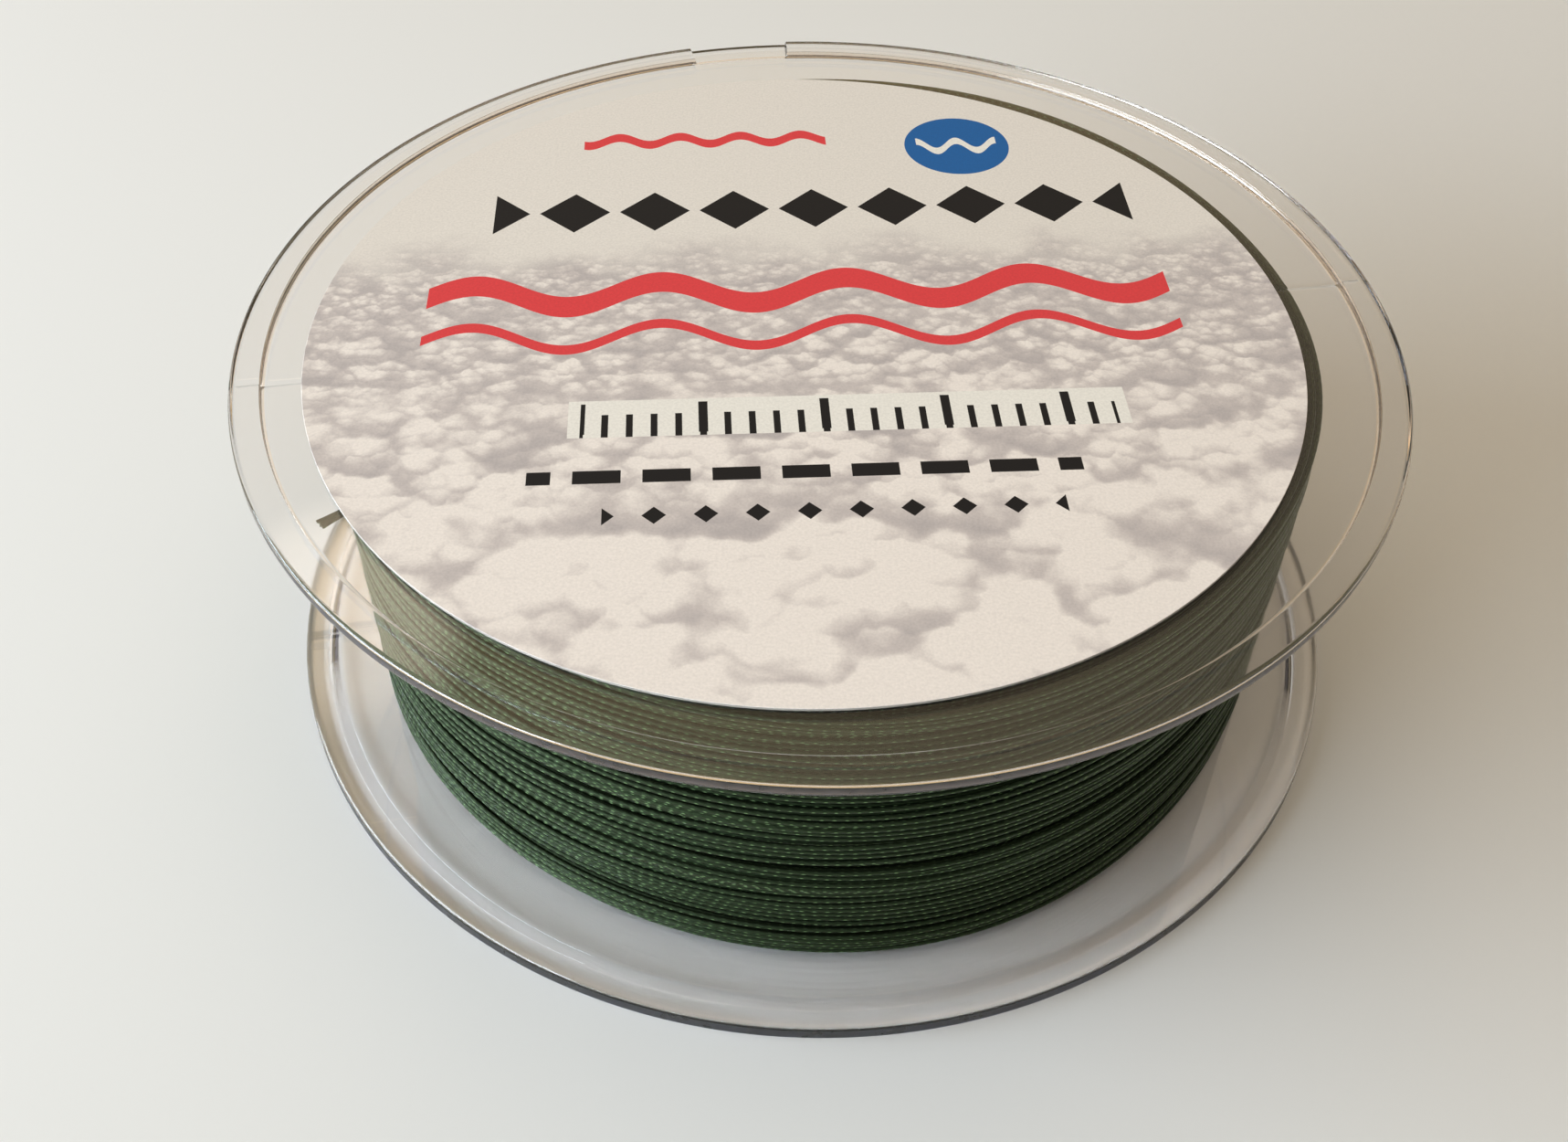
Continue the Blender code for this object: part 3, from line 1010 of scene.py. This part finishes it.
@dataclass
class WoundLine:
    """The wound line: its core, an under layer and the outer layer, and the cut end."""

    body: SpoolBody
    radius: float = 42.8 * MM
    gap: float = 0.05 * MM
    layer_depth: float = 0.40 * MM
    core_inner_gap: float = 0.35 * MM   # room for the start tape
    core_outer_depth: float = 1.5 * MM
    core_groove: float = 0.1 * MM
    core_points: int = 4                # points across each turn
    core_steps: int = 150
    end_azimuth: float = math.radians(-147.0)
    end_turn: float = math.radians(11.0)
    end_length: float = 3.3 * MM
    end_root: float = 0.3 * MM
    end_drop: float = 0.6 * MM
    end_half_width: float = 0.31 * MM
    end_spread: float = 0.26 * MM
    end_half_depth: float = 0.24 * MM
    end_thinning: float = 0.05 * MM
    end_fray: float = 0.07 * MM

    @property
    def bottom(self) -> float:
        """Height of the line's lowest turns."""
        return self.body.lower_inner + self.gap

    @property
    def top(self) -> float:
        """Height of the line's highest turns."""
        return self.body.upper_inner - self.gap

    def core(self) -> bpy.types.Object:
        """All the turns below the two outer layers, as a ring whose skin shows each turn."""
        points, steps = self.core_points, self.core_steps
        inner = self.body.barrel_radius + self.core_inner_gap
        outer = self.radius - self.core_outer_depth
        corners = [(inner, self.top), (outer, self.top), (outer, self.bottom), (inner, self.bottom)]
        section: list[Point] = []
        for start, end in zip(corners, corners[1:] + corners[:1]):
            run = Vector(end) - Vector(start)
            inwards = Vector((run.y, -run.x)).normalized()
            count = round(run.length / LINE_DIAMETER) * points
            for step in range(count):
                dip = self.core_groove * (1 - abs(math.sin(math.pi * step / points)))
                section.append(tuple(Vector(start) + run * step / count + inwards * dip))
        along = np.arange(steps + 1) * TURN * self.radius / steps / MM
        around = np.arange(len(section) + 1) / points / 2 - 0.25
        strand = np.stack(np.meshgrid(along, around, indexing="ij"), axis=2)
        grid = turned(section, np.arange(steps) * TURN / steps)
        return lattice("line_core_turns", grid, (True, True), strand=strand, crease=100.0)

    def cut_end(self) -> bpy.types.Object:
        """The cut end: a braid pressed flat, whose fibres spread towards the cut."""
        rows, sides = 14, 24
        share = np.linspace(0.0, 1.0, rows)[:, None]
        angle = np.arange(sides)[None, :] * TURN / sides
        lobe = 1 + 0.08 * np.cos(8 * angle)
        out = self.end_length * share + self.end_fray * np.sin(7 * angle) * share**6
        aside = (self.end_half_width + self.end_spread * share**1.5) * lobe * np.cos(angle)
        rise = (self.end_half_depth - self.end_thinning * share) * lobe * np.sin(angle)
        heading, start = self.end_azimuth + self.end_turn, self.radius - self.end_root
        grid = np.stack(
            [
                start * math.cos(self.end_azimuth) + out * math.cos(heading) - aside * math.sin(heading),
                start * math.sin(self.end_azimuth) + out * math.sin(heading) + aside * math.cos(heading),
                self.body.upper_inner - self.end_drop + rise,
            ],
            axis=2,
        )
        along, around = np.linspace(0.0, self.end_length / MM, rows), np.linspace(0, 1, sides + 1)
        strand = np.stack(np.meshgrid(along, around, indexing="ij"), axis=2)
        return lattice("line_cut_end", grid, (False, True), caps=True, strand=strand)

    def build(self) -> None:
        """Makes the whole line."""
        outer = TurnLayer(
            "line_outer_turns", self.radius, self.bottom, self.top,
            turns=57, lay=Lay.RISING, seed=7, end_azimuth=self.end_azimuth,
        )
        under = TurnLayer(
            "line_under_turns", self.radius - self.layer_depth, self.bottom, self.top,
            turns=64, lay=Lay.FALLING, seed=21, points_per_turn=130, sides=6,
        )
        braid = BraidedPolyethylene().make()
        dress(outer.build(), braid, "green_braid", "line_outer_layer")
        dress(under.build(), braid, "green_braid", "line_core")
        dress(self.core(), braid, "green_braid", "line_core")
        dress(self.cut_end(), braid, "green_braid", "line_end")


@dataclass
class StartTape:
    """The strip of tape that holds the start of the line on the barrel, torn on a toothed cutter."""

    radius: float
    middle: float
    azimuth: float = math.radians(60.0)
    length: float = 20.0 * MM
    width: float = 12.0 * MM
    thickness: float = 0.1 * MM
    teeth: int = 10
    tooth_depth: float = 0.5 * MM

    def build(self) -> bpy.types.Object:
        """Makes the tape."""
        rows, across = 28, self.teeth * 2 + 1
        heights = self.middle + np.linspace(-self.width / 2, self.width / 2, across)
        tooth = np.arange(across) % 2 * self.tooth_depth / self.radius
        sweep = self.length / self.radius
        grid = np.empty((rows, across * 2, 3))
        for row in range(rows):
            share = row / (rows - 1)
            angles = self.azimuth + sweep * (share - 0.5) + tooth * (share - 0.5) * 2
            for layer, radius in enumerate((self.radius, self.radius - self.thickness)):
                order = slice(None) if layer == 0 else slice(None, None, -1)
                columns = slice(layer * across, (layer + 1) * across)
                grid[row, columns, 0] = (radius * np.cos(angles))[order]
                grid[row, columns, 1] = (radius * np.sin(angles))[order]
                grid[row, columns, 2] = heights[order]
        tape = lattice("start_tape_film", grid, (False, True), caps=True)
        dress(tape, TapeFilm().make(), "tape_film", "start_tape")
        return tape


# ---------------------------------------------------------------- studio


@dataclass(frozen=True)
class Zone:
    """A part of the surroundings: where it lies and how wide it is, in degrees, and how bright."""

    azimuth: float
    elevation: float
    inner: float
    outer: float
    colour: tuple[float, float, float]

    @property
    def direction(self) -> tuple[float, float, float]:
        """The unit vector towards its middle."""
        flat, turn = math.radians(self.elevation), math.radians(self.azimuth)
        return math.cos(flat) * math.cos(turn), math.cos(flat) * math.sin(turn), math.sin(flat)


@dataclass
class Studio:
    """Floor, window light, surroundings and camera."""

    rim_height: float
    rim_radius: float
    camera_elevation: float = math.radians(36.919)
    camera_distance: float = 2.8507          # in rim radii, from the middle of the upper rim
    camera_yaw: float = math.radians(1.002)
    camera_pitch: float = math.radians(8.805)
    camera_roll: float = math.radians(1.596)
    camera_lens: float = 37.197
    camera_sensor: float = 36.0
    camera_clip: tuple[float, float] = (0.005, 50.0)
    window_azimuth: float = math.radians(198.0)
    window_distance: float = 0.60
    window_middle: float = 0.187
    window_size: tuple[float, float] = (0.78, 0.312)
    window_radiance: tuple[float, float, float] = (11.1, 12.9, 14.5)
    window_spread: float = math.radians(130.0)  # keeps the floor near the lamp from clipping
    floor_reach: float = 6.0
    floor_drop: float = 0.04 * MM            # the air film between a lip and the board
    base: tuple[float, float, float] = (0.43, 0.35, 0.26)
    zones: tuple[Zone, ...] = (
        Zone(168.0, 32.0, 20.0, 58.0, (0.88, 0.82, 0.74)),
        Zone(90.0, 38.0, 16.0, 34.0, (0.62, 0.47, 0.24)),
        Zone(113.0, 45.5, 2.0, 4.5, (2.3, 1.9, 1.4)),
        Zone(20.0, 32.0, 20.0, 60.0, (0.25, 0.23, 0.20)),
        Zone(62.0, 19.0, 2.0, 10.0, (1.9, 1.3, 0.8)),
        Zone(104.0, 19.0, 2.0, 10.0, (1.9, 1.3, 0.8)),
        Zone(-90.0, 30.0, 30.0, 75.0, (0.02, 0.02, 0.02)),
        Zone(0.0, 90.0, 20.0, 48.0, (0.86, 0.73, 0.55)),
    )
    horizon: tuple[float, float, float] = (0.70, 0.69, 0.66)
    horizon_band: tuple[float, float] = (0.22, 0.08)  # a ray's climb where the band starts and is full

    def floor(self) -> None:
        """Lays the floor."""
        reach = self.floor_reach
        corners = [(x * reach, y * reach, -self.floor_drop) for x, y in ((-1, -1), (1, -1), (1, 1), (-1, 1))]
        sheet = bpy.data.meshes.new("floor")
        sheet.from_pydata(corners, [], [(0, 1, 2, 3)])
        floor = bpy.data.objects.new("floor", sheet)
        bpy.context.scene.collection.objects.link(floor)
        sheet.materials.append(PaintedTable(self.horizon).make())

    def surroundings(self) -> None:
        """A room of soft zones, each fading into the next, with a pale band along the horizon."""
        world = bpy.data.worlds.new("room")
        world.use_nodes = True
        tree = world.node_tree
        tree.nodes.clear()
        node = partial(add_node, tree)
        way = node("TexCoord", out="Generated")
        colour: Any = (*self.base, 1.0)
        for zone in self.zones:
            near = node("VectorMath", (way, zone.direction), out="Value", operation="DOT_PRODUCT")
            outer, inner = (math.cos(math.radians(angle)) for angle in (zone.outer, zone.inner))
            reach = {"Value": near, "From Min": outer, "From Max": inner}
            share = node("MapRange", reach, interpolation_type="SMOOTHSTEP")
            colour = node("Mix", {0: share, 6: colour, 7: (*zone.colour, 1.0)}, **COLOURS)
        climb = node("Math", (node("SeparateXYZ", (way,), out="Z"),), operation="ABSOLUTE")
        high, low = self.horizon_band
        edges = {"Value": climb, "From Min": high, "From Max": low}
        band = node("MapRange", edges, interpolation_type="SMOOTHSTEP")
        pale = node("Math", (band, seen_directly(node)), operation="MULTIPLY")
        colour = node("Mix", {0: pale, 6: colour, 7: (*self.horizon, 1.0)}, **COLOURS)
        sky = node("Background", {"Color": colour, "Strength": 1.0})
        tree.links.new(sky, tree.nodes.new("ShaderNodeOutputWorld").inputs["Surface"])
        bpy.context.scene.world = world

    def window(self) -> None:
        """One wide soft light that stands on the left, with its light narrowed towards the spool."""
        light = bpy.data.lights.new("window", "AREA")
        light.shape = "RECTANGLE"
        light.size, light.size_y = self.window_size
        brightest = max(self.window_radiance)
        light.spread = self.window_spread
        half = self.window_spread / 2
        narrowed = math.tan(half) / (math.tan(half) - half)  # a narrowed spread brightens the axis by this
        light.energy = brightest * math.pi * light.size * light.size_y / narrowed
        light.color = [channel / brightest for channel in self.window_radiance]
        lamp = bpy.data.objects.new("window", light)
        bpy.context.scene.collection.objects.link(lamp)
        way = Vector((math.cos(self.window_azimuth), math.sin(self.window_azimuth), 0.0))
        lamp.location = way * self.window_distance
        lamp.location.z = self.window_middle
        lamp.rotation_euler = way.to_track_quat("Z", "Y").to_euler()
        lamp.visible_camera = False

    def camera(self) -> None:
        """The camera, where the photograph was taken from."""
        lens = bpy.data.cameras.new("camera")
        lens.lens, lens.sensor_width = self.camera_lens, self.camera_sensor
        lens.clip_start, lens.clip_end = self.camera_clip
        eye = bpy.data.objects.new("camera", lens)
        bpy.context.scene.collection.objects.link(eye)
        view = Matrix.Rotation(math.pi / 2 - self.camera_elevation, 4, "X")
        back = view @ Vector((0.0, 0.0, self.camera_distance * self.rim_radius))
        for angle, axis in ((self.camera_yaw, "Y"), (-self.camera_pitch, "X"), (self.camera_roll, "Z")):
            view = view @ Matrix.Rotation(angle, 4, axis)
        eye.matrix_world = Matrix.Translation(back + Vector((0.0, 0.0, self.rim_height))) @ view
        bpy.context.scene.camera = eye

    def build(self) -> None:
        """Sets up the studio."""
        self.floor()
        self.surroundings()
        self.window()
        self.camera()
        bpy.context.scene.view_settings.view_transform = "Standard"
        bpy.context.scene.cycles.blur_glossy = 0.0  # the clear moulding bends light without blur


# ---------------------------------------------------------------- main


def main() -> None:
    """Builds each sub-assembly round the CAD frame."""
    logging.basicConfig(level=logging.INFO, format="%(name)s %(message)s")
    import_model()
    low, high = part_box("spool_body")
    body = SpoolBody(radius=(high.x - low.x) / 2, height=high.z - low.z)
    body.build()
    label_low, label_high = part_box("face_label")
    centre = (label_low + label_high) / 2
    FaceLabel(
        middle=(centre.x, centre.y),
        radius=(label_high.x - label_low.x) / 2,
        top=label_high.z,
        underside=body.upper_face - LABEL_SINK,
    ).build()
    WoundLine(body).build()
    tape_low, tape_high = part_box("start_tape")
    StartTape(radius=body.barrel_radius + TAPE_GAP, middle=(tape_low.z + tape_high.z) / 2).build()
    Studio(rim_height=body.height, rim_radius=body.radius).build()


if __name__ == "__main__":
    main()
